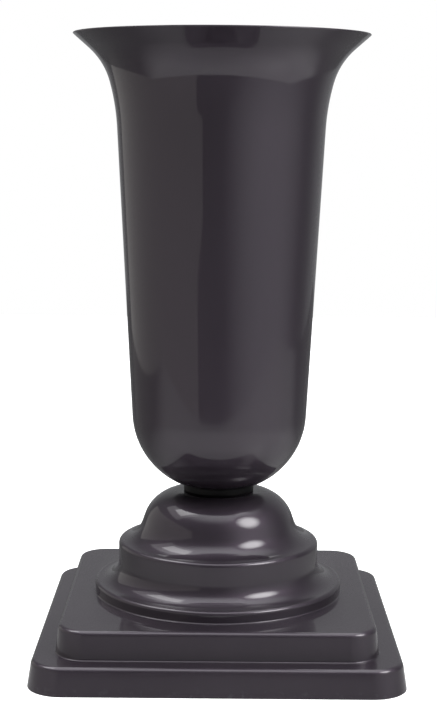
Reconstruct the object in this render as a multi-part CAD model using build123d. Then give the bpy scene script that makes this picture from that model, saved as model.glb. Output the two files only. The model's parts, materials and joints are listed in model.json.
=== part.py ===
from build123d import *
import os
from math import cos, radians, sin, tan

# A footed vase in moulded plastic: a flared tulip vase that screws into a weighted
# pedestal, with a lift-out insert for the flowers. Millimetres, +Z up. The origin is
# on the ground, on the axis of the vase. Every turned piece has the Z axis as its axis.

# Walls and clearances
VASE_WALL = 2.4
PEDESTAL_WALL = 2.5
INSERT_WALL = 1.8
CAST_GAP = 0.3        # shrinkage of the cast ballast away from the plastic
COVER_GAP = 0.4       # cover plate to plinth skirt, all round
SEAT_GAP = 0.3        # insert flange to the flare that carries it
INSERT_GAP = 2.5      # insert side to vase side
PIN_GAP = 0.08        # bail wire in its ears, on the radius
CUT = 1.0             # how far a cutting body runs past the face it cuts

# Square plinth, two drafted steps
LOWER_WIDTH = 193.0
LOWER_HEIGHT = 14.4
LOWER_DRAFT = 8.9
LOWER_CORNER_R = 18.5
LOWER_TREAD = 11.045   # level top of the lower step, outside the upper one
UPPER_HEIGHT = 14.8
UPPER_DRAFT = 6.5
UPPER_CORNER_R = 16.5
STEP_EDGE_R = 2.6
STEP_ROOT_R = 0.7     # small concave fillet where a wall rises from a tread

# Round part of the pedestal, from the plinth up
FOOT_R = 67.6
FOOT_WALL = 4.4       # upright wall of the round foot
FOOT_LIP_R = 1.9
FOOT_LIP_FLAT = 1.0
FLARE_R = 10.1        # concave sweep from the foot up to the drum
DRUM_WALL = 9.5
DRUM_EDGE_R = 2.4
SHOULDER_SLOPE = 12.0  # how far the step above the drum leans from level
SHOULDER_FLAT = 0.6
COVE_R = 14.0
DOME_LEAN = 19.0      # lean of the dome's side from upright
DOME_SIDE = 4.2
DOME_R = 20.3

# Screw joint of vase and pedestal, right-hand thread
SPIGOT_R = 14.0
SPIGOT_LENGTH = 26.0
SPIGOT_WALL = 2.4
THREAD_PITCH = 6.0
THREAD_DEPTH = 1.6
THREAD_ROOT_WIDTH = 2.6
THREAD_CREST_WIDTH = 1.4
THREAD_GAP = 0.4      # radial, ridge crest to the opposite wall
THREAD_PLAY = 0.3     # axial, between the flanks that pull the vase down
THREAD_SINK = 0.4     # how far a ridge is rooted in its wall
MALE_TURNS = 2.0
FEMALE_TURNS = 1.5
SOCKET_SPARE = 6.4    # spigot's end to the floor of the socket
SOCKET_WALL = 2.6
THREAD_RUNOUT = 3.0   # plain stretch between a thread and the end of its wall

# Neck ring
RING_HEIGHT = 4.4
RING_R = 19.05
RING_EDGE_R = 0.9

# Tulip vase, from the ring up
BOWL_SEAT_R = 19.36
BOWL_RISE = 7.4       # heading of the bowl where it leaves the seat
BOWL_HEEL_R = 15.6
BOWL_HEEL_TURN = 20.8
BOWL_R = 42.8
VASE_DRAFT = 3.0
VASE_SIDE = 155.0
THROAT_R = 112.5
THROAT_TURN = 12.4
FLARE_BEND_R = 35.7
FLARE_BEND_TURN = 33.4
LIP_LENGTH = 12.0     # straight lip beyond the flare
RIM_EDGE_R = 0.45

# Flower insert and its bail
INSERT_SINK = 14.0    # top of the flange below the rim
FLANGE_THICKNESS = 1.8
INSERT_LIFT = 12.5    # insert bottom above the floor of the vase
INSERT_HEEL_R = 6.0
INSERT_FOOT_HEIGHT = 1.6
INSERT_FOOT_WIDTH = 2.2
INSERT_FOOT_INSET = 4.0
WIRE_R = 1.25
BAIL_STANDOFF = 0.8   # ear to the bend of the wire
BAIL_BEND_R = 2.0
BAIL_HEAD_R = 2.0
BAIL_HEAD_THICKNESS = 1.0
BAIL_PLAY = 0.25      # bail heads to the ears, along the pin
EAR_THICKNESS = 2.2
EAR_WIDTH = 9.0
EAR_MARGIN = 2.0      # plastic round the wire's hole

# Base cover and its screws
COVER_RECESS = 3.0    # cover's lower face above the ground
COVER_THICKNESS = 2.5
COVER_RIB_HEIGHT = 1.5
COVER_RIB_WIDTH = 1.6
COVER_RING_RADII = (30.0, 62.0)
COVER_SPOKES = 8
SCREW_INSET = 13.2    # screw to the side of the upper step
SCREW_BOSS_R = 4.2
SCREW_HEAD_R = 3.6
SCREW_HEAD_HEIGHT = 2.1
SCREW_R = 1.45
SCREW_LENGTH = 16.0
SCREW_TIP = 2.5
SCREW_HOLE_GAP = 0.4  # screw to the hole in the cover, on the radius
PILOT_GAP = 0.05      # screw to its pilot hole, on the radius
PILOT_SPARE = 2.0     # pilot hole beyond the screw's tip
SLOT_WIDTH = 0.9
SLOT_LENGTH = 4.2
SLOT_DEPTH = 1.2

# Ribs that tie the socket to the pedestal's wall
GUSSETS = 4
GUSSET_THICKNESS = 2.4
GUSSET_DEPTH = 16.0

# Levels, widths and outlines that follow from the sizes above
TREAD_Z = LOWER_HEIGHT
PLINTH_Z = LOWER_HEIGHT + UPPER_HEIGHT
COVER_TOP_Z = COVER_RECESS + COVER_THICKNESS
UPPER_WIDTH = LOWER_WIDTH - 2 * (LOWER_HEIGHT * tan(radians(LOWER_DRAFT)) + LOWER_TREAD)
SLAB_R = LOWER_WIDTH  # a slab of this radius reaches past every piece
SCREW_SPACING = UPPER_WIDTH - 2 * SCREW_INSET
SOCKET_DEPTH = SPIGOT_LENGTH - RING_HEIGHT + SOCKET_SPARE

# An outline is a start, a heading in degrees from +r, and bends. Each bend is a
# straight run, then an arc: (length, radius, turn), where a turn to the left is
# positive and has the inside of the wall on its left.
PEDESTAL_BENDS = [
    (FOOT_WALL, FOOT_LIP_R, 90.0),
    (FOOT_LIP_FLAT, FLARE_R, -90.0),
    (DRUM_WALL, DRUM_EDGE_R, 90.0 - SHOULDER_SLOPE),
    (SHOULDER_FLAT, COVE_R, SHOULDER_SLOPE + DOME_LEAN - 90.0),
    (DOME_SIDE, DOME_R, 90.0 - DOME_LEAN),
]
BOWL_TURN = 90.0 - VASE_DRAFT - BOWL_RISE - BOWL_HEEL_TURN
VASE_BENDS = [
    (0.0, BOWL_HEEL_R, BOWL_HEEL_TURN),
    (0.0, BOWL_R, BOWL_TURN),
    (VASE_SIDE, THROAT_R, -THROAT_TURN),
    (0.0, FLARE_BEND_R, -FLARE_BEND_TURN),
]
LIP_HEADING = 90.0 - VASE_DRAFT - THROAT_TURN - FLARE_BEND_TURN


def step(point, heading, length):
    """The point that lies a length away from another, along a heading."""
    a = radians(heading)
    return (point[0] + length * cos(a), point[1] + length * sin(a))


def edge_points(points):
    """Points of radius and height, put in the XZ plane."""
    return [Vector(r, 0, z) for r, z in points]


def outline(start, heading, bends, inset=0.0):
    """Edges and end point of a turned outline, moved sideways into the wall by inset.

    A bend that is tighter than the inset becomes a plain corner.
    """
    point = step(start, heading + 90, inset)
    radii = [radius - inset * (1 if turn > 0 else -1) for _, radius, turn in bends]
    trims = [min(radius, 0.0) * tan(radians(abs(bend[2]) / 2))
             for radius, bend in zip(radii, bends)]
    edges = []
    for i, (length, _, turn) in enumerate(bends):
        length += trims[i] + (trims[i - 1] if i else 0.0)
        if length > 0:
            end = step(point, heading, length)
            edges.append(Line(*edge_points([point, end])))
            point = end
        radius = radii[i]
        if radius > 0:
            side = 90 if turn > 0 else -90
            centre = step(point, heading + side, radius)
            middle = step(centre, heading - side + turn / 2, radius)
            end = step(centre, heading - side + turn, radius)
            edges.append(ThreePointArc(*edge_points([point, middle, end])))
            point = end
        heading += turn
    return edges, point


def outline_solid(edges, corners):
    """A turned solid: an outline, closed by straight runs through more corners."""
    first = edges[0] @ 0
    last = edges[-1] @ 1
    points = [last] + edge_points(corners) + [first]
    closing = [Line(a, b) for a, b in zip(points, points[1:]) if (a - b).length > 1e-6]
    return revolve(make_face(edges + closing), Axis.Z)


def turned(corners):
    """A turned solid whose section is a polygon of radius and height."""
    points = edge_points(corners)
    sides = [Line(a, b) for a, b in zip(points, points[1:] + points[:1])]
    return revolve(make_face(sides), Axis.Z)


def disc(radius, low, high, hole=0.0):
    """A plain disc or ring on the Z axis."""
    return turned([(hole, low), (radius, low), (radius, high), (hole, high)])


_, DOME_TOP = outline((FOOT_R, PLINTH_Z), 90, PEDESTAL_BENDS)
LAND_Z = DOME_TOP[1]
SEAT_Z = LAND_Z + RING_HEIGHT
_, LIP_START = outline((BOWL_SEAT_R, SEAT_Z), BOWL_RISE, VASE_BENDS)
RIM_Z = step(LIP_START, LIP_HEADING, LIP_LENGTH)[1]
BORE_R = SPIGOT_R + THREAD_DEPTH + THREAD_GAP
SOCKET_R = BORE_R + SOCKET_WALL
MALE_LOW_Z = SEAT_Z - SPIGOT_LENGTH + THREAD_RUNOUT
FEMALE_LOW_Z = MALE_LOW_Z + (THREAD_ROOT_WIDTH + THREAD_CREST_WIDTH) / 2 + THREAD_PLAY


def plinth_step(width, corner_r, low, height, draft, inset):
    """One drafted step of the plinth, moved in by inset on its side and its top."""
    side = 2 * inset / cos(radians(draft))
    plan = RectangleRounded(width - side, width - side, corner_r - side / 2)
    block = Pos(0, 0, low) * extrude(plan, height - inset, taper=draft)
    edge_r = STEP_EDGE_R - inset
    if edge_r > 0:
        block = fillet(block.faces().sort_by(Axis.Z)[-1].edges(), edge_r)
    return block


def pedestal_form(inset=0.0):
    """The whole outer form of the pedestal, moved in by inset, open to the ground."""
    lower = plinth_step(LOWER_WIDTH, LOWER_CORNER_R, 0, LOWER_HEIGHT, LOWER_DRAFT, inset)
    sunk = inset * tan(radians(UPPER_DRAFT))
    upper = plinth_step(UPPER_WIDTH + 2 * sunk, UPPER_CORNER_R + sunk, TREAD_Z - inset,
                        UPPER_HEIGHT + inset, UPPER_DRAFT, inset)
    edges, top = outline((FOOT_R, PLINTH_Z), 90, PEDESTAL_BENDS, inset)
    round_part = outline_solid(edges, [(0, top[1]), (0, PLINTH_Z - inset - CUT),
                                       (FOOT_R - inset, PLINTH_Z - inset - CUT)])
    return lower + upper + round_part


def thread_ridge(wall_r, low, turns, inward):
    """A helical ridge of trapezoid section, rooted in a wall of the given radius."""
    side = -1 if inward else 1
    root = wall_r - side * THREAD_SINK
    crest = wall_r + side * THREAD_DEPTH
    half_root = THREAD_ROOT_WIDTH / 2
    half_crest = THREAD_CREST_WIDTH / 2
    corners = edge_points([(root, low - half_root), (root, low + half_root),
                           (crest, low + half_crest), (crest, low - half_crest)])
    section = make_face([Line(a, b) for a, b in zip(corners, corners[1:] + corners[:1])])
    path = Pos(0, 0, low) * Helix(THREAD_PITCH, THREAD_PITCH * turns, wall_r)
    return sweep(section, path, is_frenet=True)


def around(count, shape):
    """Copies of a shape, evenly turned about the Z axis."""
    return [Rot(0, 0, 360 * i / count) * shape for i in range(count)]


def at_screws(shape):
    """Copies of a shape at the four screws of the cover."""
    return [loc * shape for loc in GridLocations(SCREW_SPACING, SCREW_SPACING, 2, 2).locations]


def make_pedestal_shell():
    """Foot and plinth in one moulding, with the threaded socket and the screw bosses."""
    form = pedestal_form()
    roots = form.edges().filter_by(GeomType.LINE).filter_by_position(Axis.Z, TREAD_Z, TREAD_Z)
    roots += form.edges().filter_by(GeomType.CIRCLE).filter_by_position(Axis.Z, TREAD_Z, TREAD_Z)
    roots += form.edges().filter_by(GeomType.CIRCLE).filter_by_position(Axis.Z, PLINTH_Z, PLINTH_Z)
    form = fillet(roots, STEP_ROOT_R)
    hollow = pedestal_form(PEDESTAL_WALL)
    socket_floor_z = LAND_Z - SOCKET_DEPTH
    socket = disc(SOCKET_R, socket_floor_z - SOCKET_WALL, LAND_Z - PEDESTAL_WALL / 2)
    bosses = at_screws(Pos(0, 0, COVER_TOP_Z) * extrude(Circle(SCREW_BOSS_R),
                                                        PLINTH_Z - PEDESTAL_WALL / 2 - COVER_TOP_Z))
    gusset_low = LAND_Z - PEDESTAL_WALL - GUSSET_DEPTH
    gusset = Pos(SOCKET_R - SOCKET_WALL / 2, 0, gusset_low) * Box(
        FOOT_R, GUSSET_THICKNESS, GUSSET_DEPTH + PEDESTAL_WALL / 2,
        align=(Align.MIN, Align.CENTER, Align.MIN))
    gussets = [g & pedestal_form(PEDESTAL_WALL / 2) for g in around(GUSSETS, gusset)]
    shell = form - hollow
    for piece in [socket] + bosses + gussets:
        shell += piece
    shell -= disc(BORE_R, socket_floor_z, LAND_Z + CUT)
    pilot_top = COVER_RECESS + SCREW_LENGTH + PILOT_SPARE
    for hole in at_screws(Pos(0, 0, COVER_TOP_Z - CUT) * extrude(
            Circle(SCREW_R + PILOT_GAP), pilot_top - COVER_TOP_Z + CUT)):
        shell -= hole
    return shell + thread_ridge(BORE_R, FEMALE_LOW_Z, FEMALE_TURNS, inward=True)


def make_ballast_block():
    """Concrete cast into the pedestal, round the socket, its ribs and the screw bosses."""
    block = pedestal_form(PEDESTAL_WALL + CAST_GAP) - disc(SLAB_R, -CUT, COVER_TOP_Z)
    block -= disc(SOCKET_R + CAST_GAP, LAND_Z - SOCKET_DEPTH - SOCKET_WALL - CAST_GAP, LAND_Z)
    rib_low = LAND_Z - PEDESTAL_WALL - GUSSET_DEPTH - CAST_GAP
    rib = Pos(0, 0, rib_low) * Box(
        FOOT_R, GUSSET_THICKNESS + 2 * CAST_GAP, GUSSET_DEPTH + PEDESTAL_WALL,
        align=(Align.MIN, Align.CENTER, Align.MIN))
    for cut in around(GUSSETS, rib):
        block -= cut
    for boss in at_screws(Pos(0, 0, COVER_TOP_Z - CUT) * extrude(
            Circle(SCREW_BOSS_R + CAST_GAP), PLINTH_Z - COVER_TOP_Z + CUT)):
        block -= boss
    return block


def make_base_cover():
    """The plate that closes the foot, with ribs on its lower face."""
    plate = plinth_step(LOWER_WIDTH, LOWER_CORNER_R, 0, LOWER_HEIGHT, LOWER_DRAFT,
                        PEDESTAL_WALL + COVER_GAP) & disc(SLAB_R, COVER_RECESS, COVER_TOP_Z)
    rib_low = COVER_RECESS - COVER_RIB_HEIGHT
    inner_ring, outer_ring = COVER_RING_RADII
    for radius in COVER_RING_RADII:
        plate += disc(radius + COVER_RIB_WIDTH / 2, rib_low, COVER_RECESS + CUT,
                      hole=radius - COVER_RIB_WIDTH / 2)
    spoke = Pos(inner_ring, 0, rib_low) * Box(
        outer_ring - inner_ring, COVER_RIB_WIDTH, COVER_RIB_HEIGHT + CUT,
        align=(Align.MIN, Align.CENTER, Align.MIN))
    for rib in around(COVER_SPOKES, spoke):
        plate += rib
    for hole in at_screws(Pos(0, 0, rib_low) * extrude(
            Circle(SCREW_R + SCREW_HOLE_GAP), COVER_TOP_Z - rib_low + CUT)):
        plate -= hole
    return plate


def make_cover_screws():
    """Four pan-head self-tapping screws, heads down."""
    top = COVER_RECESS + SCREW_LENGTH
    screw = disc(SCREW_R, COVER_RECESS - SCREW_HEAD_HEIGHT / 2, top - SCREW_TIP)
    screw += turned([(0, top - SCREW_TIP), (SCREW_R, top - SCREW_TIP), (0, top)])
    head = disc(SCREW_HEAD_R, COVER_RECESS - SCREW_HEAD_HEIGHT, COVER_RECESS)
    head = fillet(head.edges().group_by(Axis.Z)[0], SCREW_HEAD_HEIGHT / 2)
    screw += head
    for angle in (0, 90):
        screw -= Rot(0, 0, angle) * Pos(0, 0, COVER_RECESS - SCREW_HEAD_HEIGHT) * Box(
            SLOT_LENGTH, SLOT_WIDTH, 2 * SLOT_DEPTH)
    return Compound(children=[s.solid() for s in at_screws(screw)])


def make_neck_ring():
    """The black ring between bowl and foot, loose round the spigot."""
    ring = disc(RING_R, LAND_Z, SEAT_Z, hole=BORE_R)
    outer = ring.edges().filter_by(GeomType.CIRCLE).sort_by(SortBy.RADIUS)[-2:]
    return fillet(outer, RING_EDGE_R)


def vase_outline(inset=0.0):
    """The vase's side from its seat to the rim, with the straight lip cut at the rim."""
    edges, top = outline((BOWL_SEAT_R, SEAT_Z), BOWL_RISE, VASE_BENDS, inset)
    lip = (RIM_Z - top[1]) / sin(radians(LIP_HEADING))
    end = step(top, LIP_HEADING, lip)
    edges.append(Line(*edge_points([top, end])))
    return edges, end


def vase_bore(inset):
    """What lies inside the vase's side, from a wall of the given inset, up to the rim."""
    edges, end = vase_outline(inset)
    start = edges[0] @ 0
    return outline_solid(edges, [(0, end[1]), (0, start.Z)])


def make_vase_shell():
    """The tulip vase with its flared mouth and its hollow threaded spigot."""
    edges, end = vase_outline()
    body = outline_solid(edges, [(0, end[1]), (0, SEAT_Z)])
    body += disc(SPIGOT_R, SEAT_Z - SPIGOT_LENGTH, SEAT_Z + CUT)
    body -= vase_bore(VASE_WALL)
    body -= disc(SPIGOT_R - SPIGOT_WALL, SEAT_Z - SPIGOT_LENGTH + SPIGOT_WALL,
                 SEAT_Z + 2 * VASE_WALL)
    rim = body.edges().filter_by(GeomType.CIRCLE).group_by(Axis.Z)[-1]
    body = fillet(rim, RIM_EDGE_R)
    return body + thread_ridge(SPIGOT_R, MALE_LOW_Z, MALE_TURNS, inward=False)


# Places of the insert and its bail
INSERT_FLOOR_Z = SEAT_Z + VASE_WALL + INSERT_LIFT
FLANGE_TOP_Z = RIM_Z - INSERT_SINK
FLANGE_Z = FLANGE_TOP_Z - FLANGE_THICKNESS
BAIL_Z = FLANGE_TOP_Z + WIRE_R + SEAT_GAP


def insert_outline(inset, top_z):
    """The insert's side: the vase's bowl and taper, moved in and run on up to a height."""
    reach = VASE_WALL + INSERT_GAP + inset
    edges, foot = outline((BOWL_SEAT_R, SEAT_Z), BOWL_RISE, VASE_BENDS[:2], reach)
    top = (foot[0] + (top_z - foot[1]) * tan(radians(VASE_DRAFT)), top_z)
    edges.append(Line(*edge_points([foot, top])))
    return edges, top


MOUTH_R = insert_outline(INSERT_WALL, FLANGE_TOP_Z)[1][0]
EAR_OUT = MOUTH_R + EAR_THICKNESS
BAIL_R = EAR_OUT + BAIL_STANDOFF + BAIL_BEND_R


def insert_body(inset, top_z):
    """The insert's outer form, moved in by inset on its side and its floor."""
    edges, top = insert_outline(inset, top_z)
    floor_z = INSERT_FLOOR_Z + inset
    form = outline_solid(edges, [(0, top_z), (0, (edges[0] @ 0).Z)])
    form &= disc(SLAB_R, floor_z, top_z)
    return fillet(form.faces().sort_by(Axis.Z)[0].edges(), INSERT_HEEL_R - inset)


def make_flower_insert():
    """The lift-out pot: a tapered liner with a flange and two ears for the bail."""
    pot = insert_body(0.0, FLANGE_TOP_Z)
    flat_r = pot.faces().sort_by(Axis.Z)[0].bounding_box().size.X / 2
    foot_r = flat_r - INSERT_FOOT_INSET
    pot += vase_bore(VASE_WALL + SEAT_GAP) & disc(SLAB_R, FLANGE_Z, FLANGE_TOP_Z)
    pot -= insert_body(INSERT_WALL, FLANGE_TOP_Z + CUT)
    pot += disc(foot_r, INSERT_FLOOR_Z - INSERT_FOOT_HEIGHT, INSERT_FLOOR_Z + INSERT_WALL / 2,
                hole=foot_r - INSERT_FOOT_WIDTH)
    ear_top = WIRE_R + PIN_GAP + EAR_MARGIN
    ear_face = Plane.YZ * (Circle(ear_top) + Pos(0, -BAIL_Z + FLANGE_Z + FLANGE_THICKNESS / 2)
                           * Rectangle(EAR_WIDTH, BAIL_Z - FLANGE_Z - FLANGE_THICKNESS / 2,
                                       align=(Align.CENTER, Align.MIN)))
    for side in (-1, 1):
        low = min(side * MOUTH_R, side * EAR_OUT)
        pot += Pos(low, 0, BAIL_Z) * extrude(ear_face, EAR_THICKNESS)
        pot -= Pos(low - CUT, 0, BAIL_Z) * extrude(Plane.YZ * Circle(WIRE_R + PIN_GAP),
                                                   EAR_THICKNESS + 2 * CUT)
    return pot


def make_insert_handle():
    """The wire bail, folded flat round the flange, with upset heads inside the ears."""
    head_x = MOUTH_R - BAIL_PLAY
    bend = BAIL_BEND_R / 2 ** 0.5
    right = [Vector(head_x - BAIL_HEAD_THICKNESS / 2, 0, BAIL_Z),
             Vector(BAIL_R - BAIL_BEND_R, 0, BAIL_Z)]
    corner = Vector(BAIL_R - BAIL_BEND_R + bend, BAIL_BEND_R - bend, BAIL_Z)
    hoop_end = Vector(BAIL_R, BAIL_BEND_R, BAIL_Z)
    crown = Vector(0, BAIL_BEND_R + BAIL_R, BAIL_Z)

    def mirrored(point):
        return Vector(-point.X, point.Y, point.Z)

    path = Wire([
        Line(*right).edge(),
        ThreePointArc(right[1], corner, hoop_end).edge(),
        ThreePointArc(hoop_end, crown, mirrored(hoop_end)).edge(),
        ThreePointArc(mirrored(hoop_end), mirrored(corner), mirrored(right[1])).edge(),
        Line(mirrored(right[1]), mirrored(right[0])).edge(),
    ])
    bail = sweep(Plane(origin=right[0], z_dir=(1, 0, 0)) * Circle(WIRE_R), path)
    for side in (-1, 1):
        low = min(side * head_x, side * (head_x - BAIL_HEAD_THICKNESS))
        bail += Pos(low, 0, BAIL_Z) * extrude(Plane.YZ * Circle(BAIL_HEAD_R), BAIL_HEAD_THICKNESS)
    return bail


PIECES = {
    "pedestal_shell": make_pedestal_shell,
    "ballast_block": make_ballast_block,
    "base_cover": make_base_cover,
    "cover_screws": make_cover_screws,
    "neck_ring": make_neck_ring,
    "vase_shell": make_vase_shell,
    "flower_insert": make_flower_insert,
    "insert_handle": make_insert_handle,
}

os.makedirs("parts", exist_ok=True)
for name, make in PIECES.items():
    piece = make()
    box = piece.bounding_box()
    print(name, "solids", len(piece.solids()), "z", round(box.min.Z, 2), round(box.max.Z, 2))
    export_step(piece, f"parts/{name}.step")
lift = FEMALE_LOW_Z + FEMALE_TURNS * THREAD_PITCH + THREAD_ROOT_WIDTH - MALE_LOW_Z
print("rim at", round(RIM_Z, 2), "land at", round(LAND_Z, 2), "seat at", round(SEAT_Z, 2))
print("threads part after a lift of", round(lift, 2))
print("rim radius at the sharp corner", round(step(LIP_START, LIP_HEADING, LIP_LENGTH)[0], 2))
print("insert floor", round(INSERT_FLOOR_Z, 2), "mouth radius", round(MOUTH_R, 2), "bail at", round(BAIL_Z, 2))
print("insert rises clear after", round(RIM_Z - INSERT_FLOOR_Z + INSERT_FOOT_HEIGHT, 2))
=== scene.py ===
# %% [markdown]
# A footed vase, from its engineering model to a finished picture
#
# The object is a moulded plastic vase in two main pieces: a flared tulip body, and a stepped
# square pedestal that it screws into. Inside stand a lift-out insert with a wire bail and, in
# the foot, a cast block that keeps the whole from tipping. The engineering model is loaded as
# a frame that is never changed. What the eye sees gets a finer surface here, worked out from
# the same sizes, and every piece gets a finish.

# %% Load the frame
import json
from math import atan2, ceil, cos, degrees, pi, radians, sin, sqrt, tan

import bmesh
import bpy
import numpy as np
from mathutils import Euler, Matrix, Vector


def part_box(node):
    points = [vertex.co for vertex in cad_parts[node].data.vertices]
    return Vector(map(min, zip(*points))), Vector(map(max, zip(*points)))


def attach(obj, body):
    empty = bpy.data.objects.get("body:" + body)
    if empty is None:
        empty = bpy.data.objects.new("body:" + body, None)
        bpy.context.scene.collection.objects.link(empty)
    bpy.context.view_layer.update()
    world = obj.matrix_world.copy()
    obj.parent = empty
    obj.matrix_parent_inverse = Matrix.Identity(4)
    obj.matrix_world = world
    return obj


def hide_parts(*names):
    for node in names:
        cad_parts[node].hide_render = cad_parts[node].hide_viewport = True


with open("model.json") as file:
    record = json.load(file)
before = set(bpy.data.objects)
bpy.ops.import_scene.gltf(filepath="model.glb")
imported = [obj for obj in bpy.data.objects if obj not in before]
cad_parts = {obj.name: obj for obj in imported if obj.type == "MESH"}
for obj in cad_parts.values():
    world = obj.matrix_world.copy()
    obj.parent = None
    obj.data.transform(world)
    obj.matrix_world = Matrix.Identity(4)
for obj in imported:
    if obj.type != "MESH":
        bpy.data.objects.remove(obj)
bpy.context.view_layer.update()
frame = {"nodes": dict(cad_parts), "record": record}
MM = 0.001

# %% [markdown]
# Outlines drawn with a pen
#
# A moulded vase is turned from straight runs and round bends, so its outline can be told as
# a walk: start here, head that way, go straight for so far, bend with this radius through
# that angle. A list of points would be longer and would hide the radii that the mould maker
# cuts. Moving the pen sideways by a wall thickness draws the inner face: each left bend then
# loses the wall from its radius, and each right bend gains it.

# %% The pen
LONGEST_CHORD = 2.5
SMALL_R = 1.0
WIDEST_STEP = {"small": 15.0, "large": 5.0}
LONGEST_RUN = 12.0
SUPPORT = 0.12
LEAST_BEND = 0.12


def onward(point, heading, length):
    """The point a length away along a heading, in degrees from the first axis."""
    a = radians(heading)
    return np.array([point[0] + length * cos(a), point[1] + length * sin(a)])


def straight(a, b):
    """Points after a on the way to b, two of them close to the ends so that shading stays flat."""
    length = np.linalg.norm(np.subtract(b, a))
    if length < 1e-9:
        return np.empty((0, 2))
    shares = np.linspace(0, 1, ceil(length / LONGEST_RUN) + 1)
    if length > 4 * SUPPORT:
        shares = np.unique(np.concatenate([shares, [SUPPORT / length, 1 - SUPPORT / length]]))
    return a + np.subtract(b, a) * shares[1:, None]


def bend_trim(radius, turn):
    """How much a bend takes from each of the runs beside it: radius times tan(half turn)."""
    return radius * tan(radians(abs(turn) / 2))


def pen_run(start, heading, bends, last=0.0, inset=0.0):
    """Points along an outline of runs and bends, moved to the left of the pen by inset.

    A bend is (length, radius, turn). The arc's points lie at centre + radius times
    (cos, sin) of angles spaced evenly over the turn. A bend that the inset makes too
    tight keeps LEAST_BEND, and its runs grow shorter by the missing radius times the
    tangent of half the turn. A last run may follow.
    """
    point = onward(start, heading + 90, inset)
    asked = [radius - inset * np.sign(turn) for _, radius, turn in bends]
    radii = [max(radius, min(LEAST_BEND, bend[1])) for radius, bend in zip(asked, bends)]
    trims = [bend_trim(a - r, bend[2]) for a, r, bend in zip(asked, radii, bends)]
    found = [point[None]]
    for i, (length, _, turn) in enumerate(bends):
        end = onward(point, heading, length + trims[i] + (trims[i - 1] if i else 0.0))
        found.append(straight(point, end))
        side = 90 if turn > 0 else -90
        centre = onward(end, heading + side, radii[i])
        widest = WIDEST_STEP["small" if radii[i] < SMALL_R else "large"]
        steps = ceil(max(abs(turn) / widest, radians(abs(turn)) * radii[i] / LONGEST_CHORD))
        angles = np.radians(heading - side + np.linspace(0, turn, steps + 1)[1:])
        found.append(centre + radii[i] * np.stack([np.cos(angles), np.sin(angles)], 1))
        point = found[-1][-1]
        heading += turn
    if last:
        found.append(straight(point, onward(point, heading, last + trims[-1])))
    return np.concatenate(found)


def eased(*places, ease=0.25):
    """A run through corners, each rounded by the small radius ease, as a pen run."""
    steps = np.diff(np.array(places, float), axis=0)
    lengths = np.linalg.norm(steps, axis=1)
    headings = np.degrees(np.arctan2(steps[:, 1], steps[:, 0]))
    turns = (np.diff(headings) + 180) % 360 - 180
    trims = [0.0] + [bend_trim(ease, turn) for turn in turns] + [0.0]
    runs = [length - before - after for length, before, after in zip(lengths, trims, trims[1:])]
    return pen_run(places[0], headings[0], [(run, ease, turn) for run, turn in zip(runs, turns)], runs[-1])


print("a quarter bend of 10 mm has", len(pen_run((0, 0), 0, [(0, 10, 90)])), "points")

# %% [markdown]
# From an outline to a surface
#
# Each surface here is a grid of two parameters. One runs along the outline, the other round
# the piece. A turned piece goes round a circle, and the plinth goes round a square with
# rounded corners. Both are the same formula: a small square of half-side b, grown by a
# radius. With b = 0 only the circle is left, so the square plinth can pass into the round
# foot in one unbroken skin.

# %% Grids into meshes
QUARTER = 48


def around(profile, square=0.0, centre=(0.0, 0.0), quarter=QUARTER):
    """Grid of places: centre + b * corner + (r - b) * outward at height z, for each (r, z) and b.

    Corner is the diagonal direction (1, 1) of the quarter that a column lies in, and
    outward is (cos a, sin a) of its angle. Each quarter has both its end columns.
    """
    angle = np.concatenate([np.linspace(90 * q, 90 * q + 90, quarter + 1) for q in range(4)])
    outward = np.stack([np.cos(np.radians(angle)), np.sin(np.radians(angle))], 1)
    corner = np.repeat(np.array([[1, 1], [-1, 1], [-1, -1], [1, -1]], float), quarter + 1, 0)
    r, z = profile[:, 0, None, None], profile[:, 1, None, None]
    b = np.broadcast_to(np.asarray(square, float), len(profile))[:, None, None]
    plan = centre + b * corner + (r - b) * outward
    return np.concatenate([plan, np.broadcast_to(z, plan.shape[:2] + (1,))], 2)


def grid_faces(rows, columns, first=0, ring=False):
    """Corner indices of the quads of a grid that closes on itself across its columns."""
    i, j = np.meshgrid(np.arange(rows if ring else rows - 1), np.arange(columns), indexing="ij")
    here, up = i * columns, (i + 1) % rows * columns
    across = (j + 1) % columns
    quads = np.stack([here + j, here + across, up + across, up + j], -1)
    return first + quads.reshape(-1, 4)


def piece_from(name, grids, rings=(), sharp=35.0):
    """One closed mesh object, in metres, from grids in millimetres.

    The grids close on themselves across their columns. A grid whose number is in rings
    closes across its rows too, and the others begin and end in a point. Doubles are
    merged, so poles and seams are closed, and edges past the sharp angle stay crisp.
    """
    faces, first = [], 0
    for i, grid in enumerate(grids):
        faces.append(grid_faces(*grid.shape[:2], first, i in rings))
        first += grid.shape[0] * grid.shape[1]
    mesh = bpy.data.meshes.new(name)
    places = np.concatenate([g.reshape(-1, 3) for g in grids]) * MM
    mesh.from_pydata(places.tolist(), [], np.concatenate(faces).tolist())
    work = bmesh.new()
    work.from_mesh(mesh)
    bmesh.ops.remove_doubles(work, verts=work.verts, dist=1e-7)
    open_edges = sum(not e.is_manifold for e in work.edges)
    volume = work.calc_volume(signed=True)
    work.to_mesh(mesh)
    work.free()
    mesh.polygons.foreach_set("use_smooth", np.ones(len(mesh.polygons), bool))
    mesh.set_sharp_from_angle(angle=radians(sharp))
    piece = bpy.data.objects.new(name, mesh)
    bpy.context.collection.objects.link(piece)
    print(name, "faces", len(mesh.polygons), "open edges", open_edges,
          "volume, mm3:", round(volume / MM ** 3))
    return piece


# %% [markdown]
# The sizes
#
# Everything visible follows from the radii and runs of two outlines, the tulip body and the
# pedestal. They are the sizes of the engineering model, in millimetres. Levels are worked
# out by walking the outlines, and are then held against the frame's own boxes.

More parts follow.
